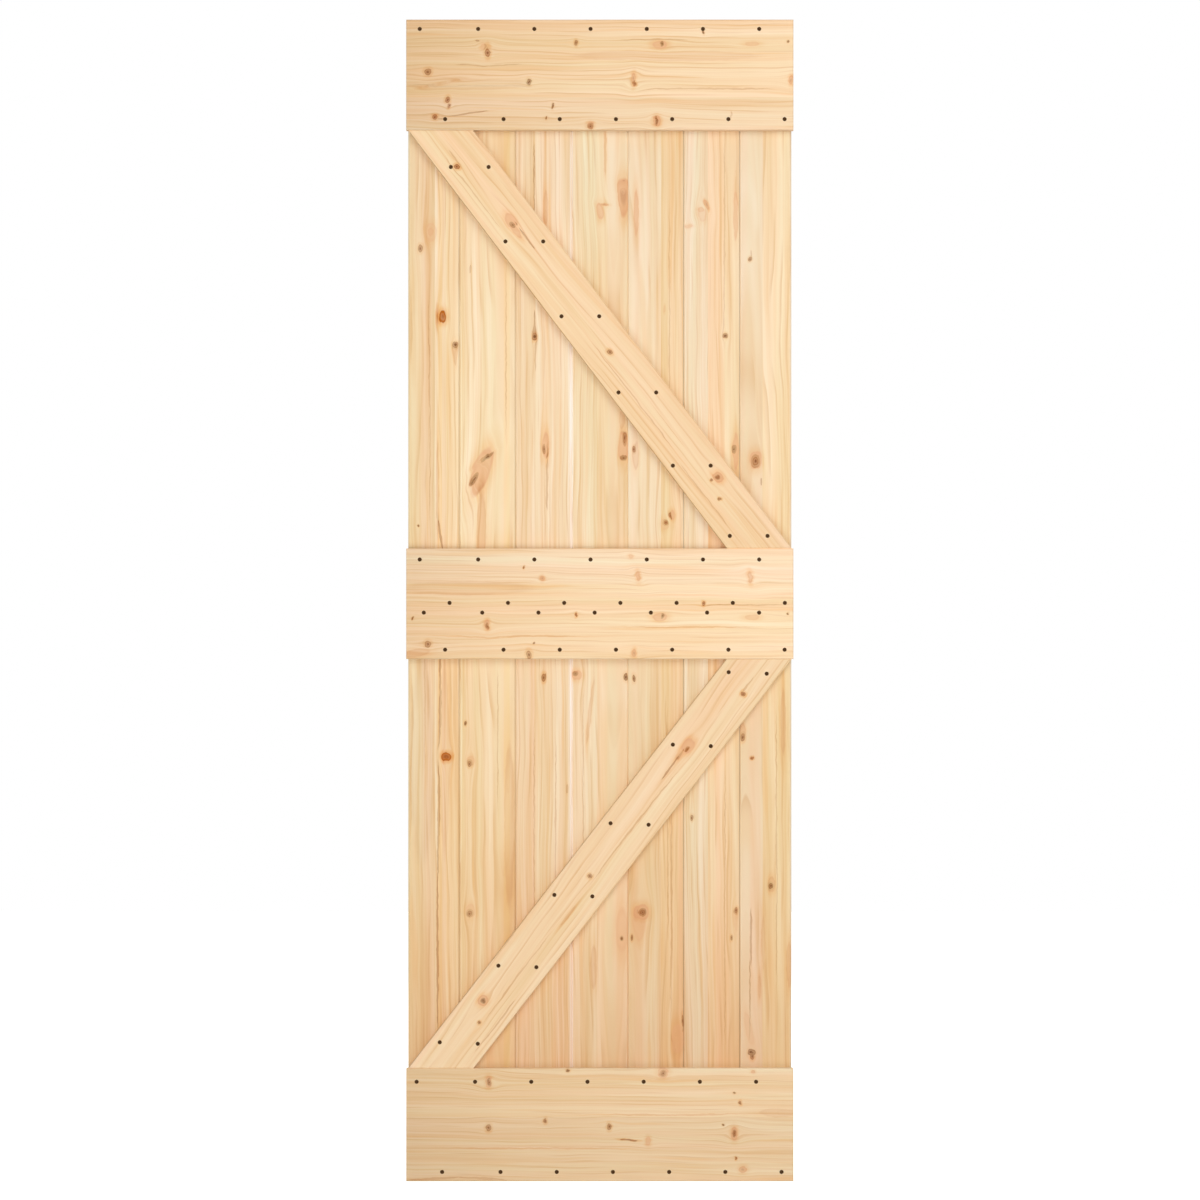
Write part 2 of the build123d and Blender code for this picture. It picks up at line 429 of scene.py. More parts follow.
def knot_group():
    """A shader group that adds one knot. It hands on the place with the grain bent round the
    knot, how strong body, core and halo are there, and the hue."""
    tree = bpy.data.node_groups.new("knot", "ShaderNodeTree")
    for name in ("Place", "Depths", "Middle", "Half size", "Reach", "Own depths"):
        tree.interface.new_socket(name, in_out="INPUT", socket_type="NodeSocketVector")
    for name in ("Hue", "Bend", "Lean", "Own hue"):
        tree.interface.new_socket(name, in_out="INPUT", socket_type="NodeSocketFloat")
    for name in ("Place", "Depths"):
        tree.interface.new_socket(name, in_out="OUTPUT", socket_type="NodeSocketVector")
    tree.interface.new_socket("Hue", in_out="OUTPUT", socket_type="NodeSocketFloat")
    s = Shader(tree)
    given = s.add("NodeGroupInput").outputs
    made = s.add("NodeGroupOutput").inputs

    straight = s.vector("SUBTRACT", given["Place"], given["Middle"])
    tilted = s.math("MULTIPLY", s.split(straight)[0], given["Lean"])
    offset = s.vector("SUBTRACT", straight, s.join(0.0, tilted))
    inward = s.vector("LENGTH", s.vector("DIVIDE", offset, given["Half size"]))
    far = s.vector("DIVIDE", offset, given["Reach"])
    distance = s.vector("DOT_PRODUCT", far, far)
    body = s.math("MULTIPLY", s.step(inward, *KNOT_BODY), s.step(inward, *KNOT_RIM))
    strengths = s.join(body, s.step(inward, *KNOT_CORE), s.step(inward, *KNOT_HALO))
    own = s.vector("MULTIPLY", strengths, given["Own depths"])
    s.feed(made["Depths"], s.vector("MAXIMUM", given["Depths"], own))
    own_hue = s.math("MULTIPLY", given["Own hue"], s.step(inward, *KNOT_HUE))
    s.feed(made["Hue"], s.math("MAXIMUM", given["Hue"], own_hue))
    swirl = s.math("DIVIDE", given["Bend"], s.math("POWER", s.math("ADD", distance, 1.0), 2.0))
    push = s.math("MULTIPLY", s.split(offset)[1], swirl)
    s.feed(made["Place"], s.vector("SUBTRACT", given["Place"], s.join(0.0, push)))
    return tree


KNOT = knot_group()


def add_marks(s, board, place):
    """The chain of a board's marks, small ones first. Returns the outputs of the last."""
    state = {"Place": place, "Depths": (0.0, 0.0, 0.0), "Hue": 0.0}
    for mark in sorted(board.marks, key=lambda mark: mark.length * mark.width):
        spot = Vector((mark.x, 0.0, mark.z))
        along = spot.dot(board.along) - board.middle[0]
        across = spot.dot(board.across) - board.middle[1]
        reach_along = mark.length * BEND_PER_LENGTH + BEND_PAST_END
        reach_across = mark.width * BEND_PER_WIDTH + BEND_PAST_SIDE
        body, core, halo, bend, hue = KINDS[mark.kind]
        own = {
            "Middle": (along, across, 0.0),
            "Half size": (mark.length, mark.width, 1.0),
            "Reach": (reach_along, reach_across, 1.0),
            "Own depths": (body, core, halo),
            "Bend": bend,
            "Lean": mark.lean,
            "Own hue": hue,
        }
        node = s.fill(s.add("ShaderNodeGroup", node_tree=KNOT), {**state, **own})
        state = {name: node.outputs[name] for name in state}
    return state


def stave_seed(s, board, share):
    """The seed of the noises, which is another on each stave of the board."""
    if not board.joints:
        return board.seed
    edge = board.tones[0][0]
    starts = [at / board.width + 0.5 for at in (edge, *board.joints)]
    seeds = [(start, number * STAVE_STEP % 1.0) for number, start in enumerate(starts)]
    seeds.append((1.0, seeds[-1][1]))
    return s.math("MULTIPLY_ADD", s.ramp(share, seeds, "CONSTANT"), STAVE_SPREAD, board.seed)


def bend_grain(s, seed, u, v, bent_v):
    """The place across the grain, once two noises have bent it too."""
    slow = s.paced_noise((u, v), SLOW_BEND_PACE, seed)
    quick = s.paced_noise((u, v), QUICK_BEND_PACE, s.math("ADD", seed, QUICK_BEND_LAYER), detail=2.0)
    slowly = s.math("ADD", bent_v, s.around(slow, SLOW_BEND_REACH))
    return s.math("ADD", slowly, s.around(quick, QUICK_BEND_REACH))


def ring_radius(s, board, u, bent, w):
    """Distance from the pith, which lies behind the board and drifts along it."""
    side, depth, drift = board.pith
    sideways = s.math("SUBTRACT", bent, side)
    inward = s.math("SUBTRACT", s.math("MULTIPLY_ADD", u, drift, depth), w)
    return s.vector("LENGTH", s.join(sideways, inward))


def ring_bands(s, board, narrow, seed, u, radius):
    """Tone along the rings: broad bands, narrow bands and the dark end of each ring."""
    broad = s.paced_noise((radius, u), BROAD_PACE, seed, detail=2.0, roughness=0.6)
    rings = s.math("DIVIDE", radius, RING_WIDTH)
    phase = s.math("FRACT", s.math("MULTIPLY_ADD", narrow, RING_UNEVENNESS, rings))
    dark = s.math("MULTIPLY", s.step(phase, *RING_DARKENS), s.step(phase, *RING_ENDS))
    wide = s.around(broad, BROAD_DEPTH * board.contrast, BROAD_MIDDLE)
    band = s.math("ADD", wide, s.around(narrow, NARROW_DEPTH * board.contrast))
    return s.math("MULTIPLY_ADD", dark, RING_DEPTH * board.contrast, band)


def fine_lines(s, seed, u, radius):
    """Thin dark lines of even width. The rings are grouped in lanes, and each lane shows its
    line or hides it, by a noise on its number."""
    sway = s.paced_noise((radius, u), LANE_SWAY_PACE, s.math("ADD", seed, LANE_SWAY_LAYER), detail=2.0)
    lane = s.math("MULTIPLY_ADD", sway, LANE_SWAY, s.math("DIVIDE", radius, LANE_WIDTH))
    number = s.math("FLOOR", lane)
    shown = s.paced_noise((number, u), LANE_SHOWN_PACE, s.math("ADD", seed, LANE_SHOWN_LAYER))
    within = s.math("FRACT", lane)
    line = s.math("MULTIPLY", s.step(within, *LANE_DARKENS), s.step(within, *LANE_ENDS))
    return s.math("MULTIPLY", line, s.step(shown, *LANE_SHOWN))


def grain_color(s, board, band, rosy, streak, line):
    """The board's own colour with its bands, a rosy or green cast, rust streaks and lines."""

    def tone(factors):
        return tuple(level * factor for level, factor in zip(board.base, factors))

    color = s.ramp(band, [(0.0, tone(PALE)), (STRAW_AT, tone(STRAW)), (1.0, tone(DEEP))])
    color = s.mix(1.0, color, s.ramp(rosy, ROSY_TONES), "MULTIPLY")
    color = s.mix(s.math("MULTIPLY", streak, board.rust), color, opaque(tone(RUSTY)))
    return s.mix(s.math("MULTIPLY", line, board.lines), color, opaque(tone(LINE_TONE)))


def tone_stops(board):
    """The stops of a board's tones, with a narrow change between each and the next."""
    change = TONE_CHANGE / board.width
    at, tone = board.tones[0]
    stops = [(max(at / board.width + 0.5, 0.0), tone)]
    for at, after in board.tones[1:]:
        share = at / board.width + 0.5
        stops += [(share - change, tone), (share + change, after)]
        tone = after
    return [*stops, (1.0, tone)]


def tint_and_painted_light(s, board, color, share, u, w):
    """The colour with its factors across the board, painted shade and highlight at its edges,
    painted light and shade along it, and a painted soft shade on the front face, above the
    ledges that the rails make."""
    # Colour factors across the board, with painted shade and highlight at its edges
    color = s.mix(1.0, color, s.ramp(share, tone_stops(board)), "MULTIPLY")
    # Painted light and shade along the board
    if board.fade:
        start, end = board.fade[0][0], board.fade[-1][0]
        place = s.math("DIVIDE", s.math("SUBTRACT", u, start), end - start, clamp=True)
        stops = [((at - start) / (end - start), tone) for at, tone in board.fade]
        color = s.mix(1.0, color, s.ramp(place, stops), "MULTIPLY")
    # A painted soft shade above each ledge, on the front face only
    for height in board.ledges:
        above = s.math("SUBTRACT", u, height)
        near = s.math("MULTIPLY", s.step(above, LEDGE_REACH, 0.0), s.step(above, *LEDGE_START))
        shade = s.math("MULTIPLY", near, s.step(w, *FRONT_FACE))
        color = s.mix(shade, color, opaque(LEDGE_PAINTED_SHADE), "MULTIPLY")
    return color


def color_knots(s, color, narrow, depths, hue):
    """The knots over the grain: halo, body and core, patchy with the narrow bands."""
    body, core, halo = depths
    own = s.ramp(hue, KNOT_HUES)
    glow = s.mix(1.0, color, s.ramp(hue, HALO_TONES), "MULTIPLY")
    color = s.mix(s.math("MULTIPLY", halo, s.around(narrow, *HALO_PATCHES), clamp=True), color, glow)
    color = s.mix(s.math("MULTIPLY", body, s.around(narrow, *BODY_PATCHES), clamp=True), color, own)
    return s.mix(core, color, s.mix(1.0, own, opaque(CORE_TONE), "MULTIPLY"))


def wood(board):
    """The material of one board, from its growth rings, knots and staves, tinted and with painted light
    and shade.
    """
    material, shader, s = new_material(f"{board.slot}_pine")

    # The board's own place: u along the grain, v across it and w into it, in mm
    spot = s.place_mm()
    along = s.vector("DOT_PRODUCT", spot, board.along)
    across = s.vector("DOT_PRODUCT", spot, board.across)
    u = s.math("SUBTRACT", along, board.middle[0])
    v = s.math("SUBTRACT", across, board.middle[1])
    w = s.split(spot)[1]
    share = s.math("DIVIDE", s.math("ADD", v, board.width / 2), board.width)
    seed = stave_seed(s, board, share)

    # Knots, with outlines roughened by a little noise, and the grain bent round them
    rough = s.paced_noise((u, v), OUTLINE_PACE, board.seed, detail=2.0)
    shift = s.around(rough, OUTLINE_REACH)
    place = s.join(s.math("MULTIPLY_ADD", shift, OUTLINE_STRETCH, u), s.math("ADD", v, shift))
    knots = add_marks(s, board, place)
    body, core, halo = s.split(knots["Depths"])
    bent_v = s.math("SUBTRACT", s.split(knots["Place"])[1], shift)

    bent = bend_grain(s, seed, u, v, bent_v)
    radius = ring_radius(s, board, u, bent, w)
    narrow = s.paced_noise((radius, u), NARROW_PACE, seed, detail=2.0, roughness=0.65)
    band = ring_bands(s, board, narrow, seed, u, radius)
    band = s.math("MULTIPLY_ADD", halo, HALO_DEPTH, band, clamp=True)
    rust = s.paced_noise((radius, u), RUST_PACE, s.math("ADD", seed, RUST_LAYER))
    rosy = s.paced_noise((bent, u), ROSY_PACE, s.math("ADD", seed, ROSY_LAYER))
    line = fine_lines(s, seed, u, radius)
    color = grain_color(s, board, band, rosy, s.step(rust, *RUST_SHOWN), line)
    # Painted shade and highlight at the edges, painted light along the board, painted shade above the
    # ledges
    color = tint_and_painted_light(s, board, color, share, u, w)
    color = color_knots(s, color, narrow, (body, core, halo), knots["Hue"])

    s.feed(shader.inputs["Base Color"], color)
    sheen = s.math("MULTIPLY_ADD", body, KNOT_ROUGHNESS - WOOD_ROUGHNESS, WOOD_ROUGHNESS)
    s.feed(shader.inputs["Roughness"], sheen)
    shader.inputs["Specular IOR Level"].default_value = WOOD_SPECULAR
    inward = s.math("MULTIPLY", w, FIBRES_ACROSS)
    fibre = s.paced_noise((along, across), (FIBRES_ALONG, FIBRES_ACROSS), inward)
    s.relief(shader, fibre, FIBRE_STRENGTH, FIBRE_RELIEF)
    return material


def node_middle(node):
    """The middle of a CAD node's box in mm of the frame."""
    low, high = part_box(node)
    return (low + high) / 2 / MM


def rail_board(name, base, seed, **looks):
    """The looks of a rail: its grain is level."""
    low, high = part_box(name)
    middle = node_middle(name)
    width = (high.z - low.z) / MM
    # Rails get painted shade that darkens them towards their left ends
    looks = {"fade": RAIL_PAINTED_LIGHT, "contrast": RAIL_CONTRAST, **looks}
    return Board(name, base, RIGHT, UP, (middle.x, middle.z), width, seed, **looks)


def brace_board(name, base, seed, way, **looks):
    """The looks of a brace: its grain follows its slant, down from the top, to the right where
    way is 1 and to the left where it is -1."""
    low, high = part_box(name)
    corners = [vertex.co for vertex in frame["nodes"][name].data.vertices]
    top = [corner.x for corner in corners if corner.z > high.z - CORNER_BAND]
    level = max(top) - min(top)
    run = Vector((way * (high.x - low.x - level), 0.0, low.z - high.z)).normalized()
    across = Vector((-run.z, 0.0, run.x))
    middle = node_middle(name)
    width = abs(level * run.z) / MM
    looks = {"contrast": BRACE_CONTRAST, "rust": BRACE_RUST, **looks}
    return Board(name, base, run, across, (middle.dot(run), middle.dot(across)), width, seed, **looks)


def plank_board(number, base, seed, **looks):
    """The looks of an upper plank and the one below it, which were cut from one length."""
    middle = (number - MIDDLE_PLANK) * PLANK_COVER
    ledges = tuple(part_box(rail)[1].z / MM for rail in ("bottom_rail", "middle_rail"))
    # Planks get painted light and shade along them, darker towards their feet, and a painted shade above
    # the ledges
    looks = {"fade": PLANK_PAINTED_LIGHT, "ledges": ledges, **looks}
    return Board(f"plank_{number}", base, UP, RIGHT, (0.0, middle), PLANK_COVER, seed, **looks)


# Three staves with small knots, peach at its left end
TOP_RAIL = rail_board(
    "top_rail",
    base=(0.881, 0.660, 0.426),
    seed=11.0,
    pith=(-190.0, 40.0, 0.02),
    # The first colour factor is painted shade on the rail's lower edge
    tones=[(-100, 0.86), (-98.8, (0.99, 1.00, 1.02)), (-41, (1.0, 0.98, 0.94)), (35, (1.0, 0.99, 0.97))],
    joints=(-41, 35),
    lines=0.62,
    marks=[
        Mark(-203, 2042, 5, 9, "red"),
        Mark(-210, 2052, 5, 6, "faint"),
        Mark(-311, 2005, 6, 6, "brown"),
        Mark(-128, 1987, 4, 6, "dark"),
        Mark(61, 1992, 4, 11, "oval", 0.3),
        Mark(63, 1984, 3, 4, "red"),
        Mark(-43, 2058, 3, 5, "brown"),
        Mark(108, 2054, 13, 6, "salmon"),
        Mark(112, 2056, 2, 3, "dark"),
        Mark(275, 2056, 13, 4, "faint"),
        Mark(340, 2060, 2.2, 2.2, "dark"),
        Mark(346, 1991, 4, 8, "oval"),
        Mark(-275, 1953, 4.5, 6.5, "red"),
        Mark(-273, 1944, 3, 4, "red"),
        Mark(-238, 1931, 36, 1.3, "crack", 0.12),
        Mark(-298, 1924, 4.5, 5, "red"),
        Mark(-286, 1921, 7, 1.0, "crack"),
        Mark(-85, 1944, 2, 5, "dark"),
        Mark(-97, 1922, 1.5, 2.5, "dark"),
        Mark(-17, 1909, 6, 5, "salmon"),
        Mark(-17, 1907, 4, 4, "red"),
        Mark(103, 1917, 7, 7, "oval"),
        Mark(102, 1917, 2, 6, "red"),
        Mark(187, 2077, 2, 4, "dark"),
        Mark(-221, 2062, 4, 1.5, "crack"),
        Mark(-290, 1984, 30, 4, "faint", 0.2),
        Mark(-200, 2019, 60, 1.2, "line"),
        Mark(-230, 1981, 110, 1.2, "line"),
        Mark(190, 1975, 120, 1.2, "line"),
        Mark(100, 2063, 60, 1.2, "line"),
        Mark(237, 1928, 1.5, 6, "line"),
        Mark(-240, 1984, 115, 11, "warm"),
        Mark(120, 2035, 170, 10, "warm"),
    ],
)

# Two staves. The lower one's knots are like the top rail's.
MIDDLE_RAIL = rail_board(
    "middle_rail",
    base=(0.941, 0.729, 0.487),
    seed=23.0,
    pith=(200.0, 45.0, -0.02),
    # The first colour factor is painted shade on the lower edge, the last a painted highlight on the upper
    # edge
    tones=[(-100, 0.84), (-98.8, (1.0, 0.98, 0.95)), (36, (1.0, 1.02, 1.06)), (98.8, 1.05)],
    joints=(36,),
    lines=0.50,
    marks=[
        Mark(-104, 1090, 4, 5, "oval"),
        Mark(-137, 1110, 1.5, 2.5, "brown"),
        Mark(69, 1094, 4, 9, "salmon", -0.5),
        Mark(56, 1130, 4, 4, "faint"),
        Mark(272, 1092, 4.5, 10, "salmon", -0.5),
        Mark(187, 1044, 3, 4, "red"),
        Mark(-204, 1006, 4.5, 8, "oval"),
        Mark(-203, 1003, 2.5, 4, "red"),
        Mark(-43, 1024, 2, 4, "red"),
        Mark(108, 1020, 13, 6, "salmon"),
        Mark(113, 1022, 2, 3, "dark"),
        Mark(275, 1020, 13, 5, "faint"),
        Mark(340, 1026, 2.2, 2.2, "dark"),
        Mark(-311, 971, 6, 6, "brown"),
        Mark(-338, 1018, 1.5, 2.5, "dark"),
        Mark(-128, 952, 5, 8, "brown"),
        Mark(-119, 973, 1.8, 1.8, "dark"),
        Mark(62, 955, 4, 7, "oval"),
        Mark(268, 1042, 80, 1.0, "line"),
        Mark(-150, 985, 110, 1.2, "flame"),
        Mark(170, 1003, 110, 1.2, "flame"),
        Mark(-240, 1072, 120, 13, "warm"),
        Mark(-330, 957, 24, 8, "flame", 0.2),
    ],
)

# Two dull staves, with a group of knots to the right and cracks on the lower edge
BOTTOM_RAIL = rail_board(
    "bottom_rail",
    base=(0.856, 0.660, 0.431),
    seed=37.0,
    pith=(-200.0, 50.0, 0.03),
    # The first colour factor is painted shade on the lower edge, the last a painted highlight on the upper
    # edge
    tones=[(-102, 0.90), (-100.8, (0.98, 0.97, 0.96)), (14, (1.02, 1.0, 0.97)), (100.8, 1.05)],
    joints=(14,),
    lines=0.52,
    marks=[
        Mark(-201, 180, 6, 8, "oval"),
        Mark(-200, 179, 3, 5, "red"),
        Mark(-201, 97, 5, 6, "brown"),
        Mark(-99, 109, 3, 4.5, "brown"),
        Mark(17, 99, 4, 6, "brown"),
        Mark(87, 73, 5, 7, "salmon"),
        Mark(52, 75, 15, 1.8, "red", -0.12),
        Mark(114, 196, 9, 8, "salmon"),
        Mark(114, 195, 4, 4, "red"),
        Mark(243, 86, 6, 11, "oval"),
        Mark(243, 87, 2.6, 4.5, "red"),
        Mark(254, 142, 3, 4, "red"),
        Mark(243, 160, 2.2, 2.2, "dark"),
        Mark(223, 102, 2.5, 2.2, "dark"),
        Mark(259, 22, 7, 6, "oval"),
        Mark(246, 42, 2, 3, "red"),
        Mark(-58, 200, 3, 3, "dark"),
        Mark(277, 198, 4, 3, "salmon"),
        Mark(-300, 5, 45, 1.8, "line", 0.05),
        Mark(-212, 5, 45, 1.8, "line", -0.05),
        Mark(322, 124, 34, 8, "warm"),
        Mark(332, 124, 14, 5, "warm"),
        Mark(-120, 60, 150, 1.2, "flame"),
        Mark(140, 120, 120, 1.2, "flame"),
    ],
)

# Two staves, with a salmon knot above and a ringed one below
UPPER_BRACE = brace_board(
    "upper_brace",
    base=(0.910, 0.664, 0.409),
    seed=41.0,
    way=1,
    pith=(75.0, 60.0, 0.03),
    # The first colour factor is painted shade along the brace's left edge
    tones=[(-47, (0.74, 0.70, 0.64)), (-45.6, (1.0, 1.01, 1.02)), (4, (1.0, 0.985, 0.99))],
    joints=(4,),
    marks=[
        Mark(-258, 1834, 5, 4.5, "red"),
        Mark(-262, 1850, 18, 1.2, "line"),
        Mark(-161, 1737, 14, 7, "salmon"),
        Mark(-158, 1729, 4, 2.5, "brown"),
        Mark(-150, 1716, 14, 4, "salmon"),
        Mark(-132, 1704, 24, 1.6, "crack"),
        Mark(18, 1499, 5, 4, "brown"),
        Mark(213, 1272, 10, 8, "oval"),
        Mark(213, 1273, 3, 3, "red"),
        Mark(203, 1268, 3, 3, "red"),
        Mark(217, 1233, 3, 3, "brown"),
        Mark(60, 1420, 120, 1.2, "line"),
        Mark(190, 1240, 70, 1.2, "line"),
        Mark(-230, 1790, 80, 1.0, "line"),
    ],
)

# Two staves, with a salmon knot and its crack above and an oval one below
LOWER_BRACE = brace_board(
    "lower_brace",
    base=(0.907, 0.677, 0.429),
    seed=47.0,
    way=-1,
    pith=(-75.0, 60.0, -0.03),
    # The first colour factor is painted shade along the brace's left edge
    tones=[(-47, (0.74, 0.70, 0.64)), (-45.6, (1.0, 0.985, 0.985)), (2, (1.0, 1.01, 1.01))],
    joints=(2,),
    marks=[
        Mark(259, 881, 4.5, 4.5, "red"),
        Mark(268, 898, 16, 1.2, "line"),
        Mark(160, 787, 13, 8, "salmon"),
        Mark(158, 782, 4, 2.2, "red"),
        Mark(146, 772, 14, 4, "faint"),
        Mark(128, 748, 26, 1.6, "crack"),
        Mark(-18, 551, 4.5, 4.5, "brown"),
        Mark(-211, 327, 10, 8, "oval"),
        Mark(-211, 326, 3, 3, "dark"),
        Mark(-218, 287, 3, 3, "brown"),
        Mark(-58, 480, 22, 2.5, "flame"),
        Mark(60, 640, 130, 1.2, "line"),
        Mark(-150, 370, 100, 1.2, "line"),
        Mark(-190, 280, 60, 1.4, "line"),
    ],
)

# A trimmed plank with long cracks and two orange knots
PLANK_1 = plank_board(
    1,
    base=(0.876, 0.654, 0.401),
    seed=53.0,
    pith=(-60.0, 60.0, 0.006),
    # The first colour factor is painted shade at the leaf's left edge, the last painted shade in the joint
    tones=[
        (-50, (0.95, 1.02, 1.00)),
        (-39.5, (0.98, 0.985, 0.96)),
        (-18, (0.97, 0.955, 0.94)),
        (5.8, (1.02, 1.05, 1.10)),
        (11, (1.03, 1.0, 0.91)),
        (19, (1.02, 1.0, 1.0)),
        (26, (1.035, 1.05, 1.03)),
        (48.8, (0.78, 0.82, 0.84)),
    ],
    joints=(5.8,),
    marks=[
        Mark(-306, 1717, 17, 8, "faint"),
        Mark(-307, 1718, 7, 5, "salmon"),
        Mark(-325, 1688, 7, 4, "brown"),
        Mark(-285, 1564, 12, 7, "vivid"),
        Mark(-294, 1564, 16, 2, "salmon"),
        Mark(-262, 1513, 5, 4.5, "brown"),
        Mark(-262, 1514, 2, 2, "dark"),
        Mark(-262, 1495, 20, 2.5, "flame"),
        Mark(-329, 1185, 2, 2, "dark"),
        Mark(-289, 1168, 28, 1.8, "crack", -0.16),
        Mark(-294, 1250, 90, 2.5, "flame"),
        Mark(-278, 767, 7.5, 7, "vivid"),
        Mark(-278, 766, 3.5, 3.5, "vivid"),
        Mark(-289, 880, 100, 1.8, "crack"),
        Mark(-292, 650, 110, 2.0, "crack", 0.02),
        Mark(-294, 420, 150, 1.8, "crack"),
        Mark(-281, 760, 170, 9, "warm"),
        Mark(-317, 900, 160, 1.0, "line"),
        Mark(-322, 760, 190, 22, "shade"),
        Mark(-308, 1400, 200, 1.0, "line"),
    ],
)

# The plank with the largest knot, salmon with dark edges
PLANK_2 = plank_board(
    2,
    base=(0.909, 0.696, 0.431),
    seed=59.0,
    pith=(30.0, 70.0, -0.008),
    # The first colour factor is a painted highlight on the joint's bevel, the last painted shade in the
    # joint
    tones=[
        (-50.8, (1.04, 1.08, 1.12)),
        (-47, (0.99, 1.0, 0.98)),
        (-40, (1.0, 1.01, 1.02)),
        (29, (1.0, 0.985, 0.90)),
        (40, (1.0, 1.0, 1.02)),
        (48.8, (0.80, 0.80, 0.80)),
    ],
    marks=[
        Mark(-215, 1282, 44, 15, "salmon", 0.30),
        Mark(-205, 1310, 6, 3, "brown", 1.1),
        Mark(-217, 1302, 5, 3, "faint", 0.9),
        Mark(-203, 1311, 3, 2.5, "dark"),
        Mark(-228, 1270, 8, 3, "brown", 0.5),
        Mark(-231, 1264, 4, 1.6, "dark", 0.4),
        Mark(-214, 1180, 70, 8, "flame"),
        Mark(-235, 1650, 7, 1.5, "line"),
        Mark(-244, 827, 3.5, 2.2, "dark"),
        Mark(-236, 754, 5, 4, "brown"),
        Mark(-234, 760, 8, 5, "faint"),
        Mark(-236, 483, 5, 4, "brown"),
        Mark(-234, 488, 12, 7, "faint"),
        Mark(-164, 640, 150, 9, "flame"),
        Mark(-166, 740, 44, 4, "flame"),
        Mark(-185, 800, 120, 1.0, "line"),
        Mark(-170, 1500, 150, 1.0, "line"),
    ],
)

# A plank with two staves, and a painted highlight in the joint on its right
PLANK_3 = plank_board(
    3,
    base=(0.891, 0.682, 0.446),
    seed=61.0,
    pith=(-95.0, 45.0, 0.008),
    # The first and last colour factors are painted highlights on the joints' bevels
    tones=[
        (-50.8, (1.02, 1.04, 1.06)),
        (-48.5, (0.99, 0.96, 0.93)),
        (-17, (1.01, 1.02, 1.02)),
        (10, (1.0, 0.99, 0.98)),
        (36, (0.99, 0.98, 0.94)),
        (44, (1.0, 1.03, 1.08)),
        (47.6, (1.08, 1.22, 1.55)),
    ],
    joints=(-17,),
    marks=[
        Mark(-118, 1528, 7, 3.5, "red"),
        Mark(-118, 1528, 3, 2, "dark"),
        Mark(-118, 1552, 24, 1.2, "crack"),
        Mark(-117, 1495, 30, 1.2, "line"),
        Mark(-119, 1790, 90, 1.0, "crack"),
        Mark(-98, 1762, 32, 4, "flame"),
        Mark(-98, 1745, 14, 4, "flame"),
        Mark(-98, 1331, 24, 5.5, "salmon"),
        Mark(-101, 1324, 6, 2.2, "red"),
        Mark(-96, 1262, 48, 2, "line"),
        Mark(-102, 910, 7, 4, "brown"),
        Mark(-59, 709, 8, 2, "line"),
        Mark(-119, 640, 180, 1.0, "line"),
        Mark(-80, 600, 200, 1.0, "line"),
    ],
)

# A plank with salmon knots, most of them on its right, and a painted highlight in the joint on its left
PLANK_4 = plank_board(
    4,
    base=(0.887, 0.696, 0.455),
    seed=67.0,
    pith=(25.0, 60.0, -0.010),
    # The first colour factor is a painted highlight on the joint's bevel
    tones=[
        (-50.8, (1.08, 1.20, 1.50)),
        (-48.6, (1.0, 0.99, 0.97)),
        (-30, (1.0, 1.02, 1.02)),
        (-5, (1.01, 1.0, 0.97)),
        (14, (1.0, 1.0, 1.0)),
        (30, (1.0, 0.985, 0.97)),
    ],
    marks=[
        Mark(3, 1755, 15, 6, "salmon"),
        Mark(8, 1767, 2.5, 8, "oval", -0.6),
        Mark(42, 1779, 35, 8, "oval"),
        Mark(42, 1790, 8, 5, "oval"),
        Mark(43, 1810, 3, 6, "oval"),
        Mark(42, 1330, 27, 6.5, "salmon"),
        Mark(41, 1378, 18, 4.5, "flame"),
        Mark(45, 1345, 10, 2.6, "red"),
        Mark(43, 1308, 3.5, 4.5, "brown"),
        Mark(-41, 915, 9, 8, "salmon"),
        Mark(-44, 918, 3, 3, "brown"),
        Mark(47, 911, 7, 3.8, "dark"),
        Mark(-11, 386, 40, 5, "flame"),
        Mark(-11, 372, 24, 4, "flame"),
        Mark(40, 453, 41, 11, "faint"),
        Mark(40, 438, 3, 2.5, "dark"),
        Mark(-18, 850, 60, 3, "flame", 0.10),
        Mark(10, 1860, 40, 2, "flame"),
        Mark(-30, 700, 180, 1.0, "line"),
    ],
)

# Two staves, with a rusty right side
PLANK_5 = plank_board(
    5,
    base=(0.867, 0.656, 0.410),
    seed=71.0,
    pith=(-55.0, 75.0, 0.006),
    # The first colour factor is a painted highlight on the joint's bevel, the last painted shade in the
    # joint
    tones=[
        (-50.8, (0.99, 1.03, 1.10)),
        (-48.6, (1.0, 1.01, 1.02)),
        (9, (1.01, 1.0, 0.94)),
        (26, (1.01, 0.985, 0.92)),
        (41, (1.01, 0.95, 0.88)),
        (48.8, (0.72, 0.76, 0.78)),
    ],
    joints=(9,),
    marks=[
        Mark(66, 1752, 42, 4.5, "salmon"),
        Mark(62, 1324, 7, 3, "red"),
        Mark(65, 1312, 26, 4.5, "flame"),
        Mark(120, 1191, 4, 4, "red"),
        Mark(119, 1188, 10, 7, "faint"),
        Mark(130, 1205, 9, 5, "salmon"),
        Mark(128, 1203, 7, 1.3, "red", -0.2),
        Mark(117, 1578, 6, 2, "faint"),
        Mark(62, 909, 7, 3.2, "dark"),
        Mark(76, 485, 14, 11, "oval"),
        Mark(76, 485, 5, 5, "red"),
        Mark(68, 488, 6, 3, "oval"),
        Mark(72, 455, 22, 7, "faint"),
        Mark(58, 439, 5, 2.5, "brown"),
        Mark(141, 256, 26, 12, "faint"),
        Mark(150, 288, 12, 2, "brown"),
        Mark(129, 500, 220, 1.2, "line"),
        Mark(122, 640, 200, 1.2, "line"),
        Mark(126, 1560, 200, 1.0, "line"),
    ],
)

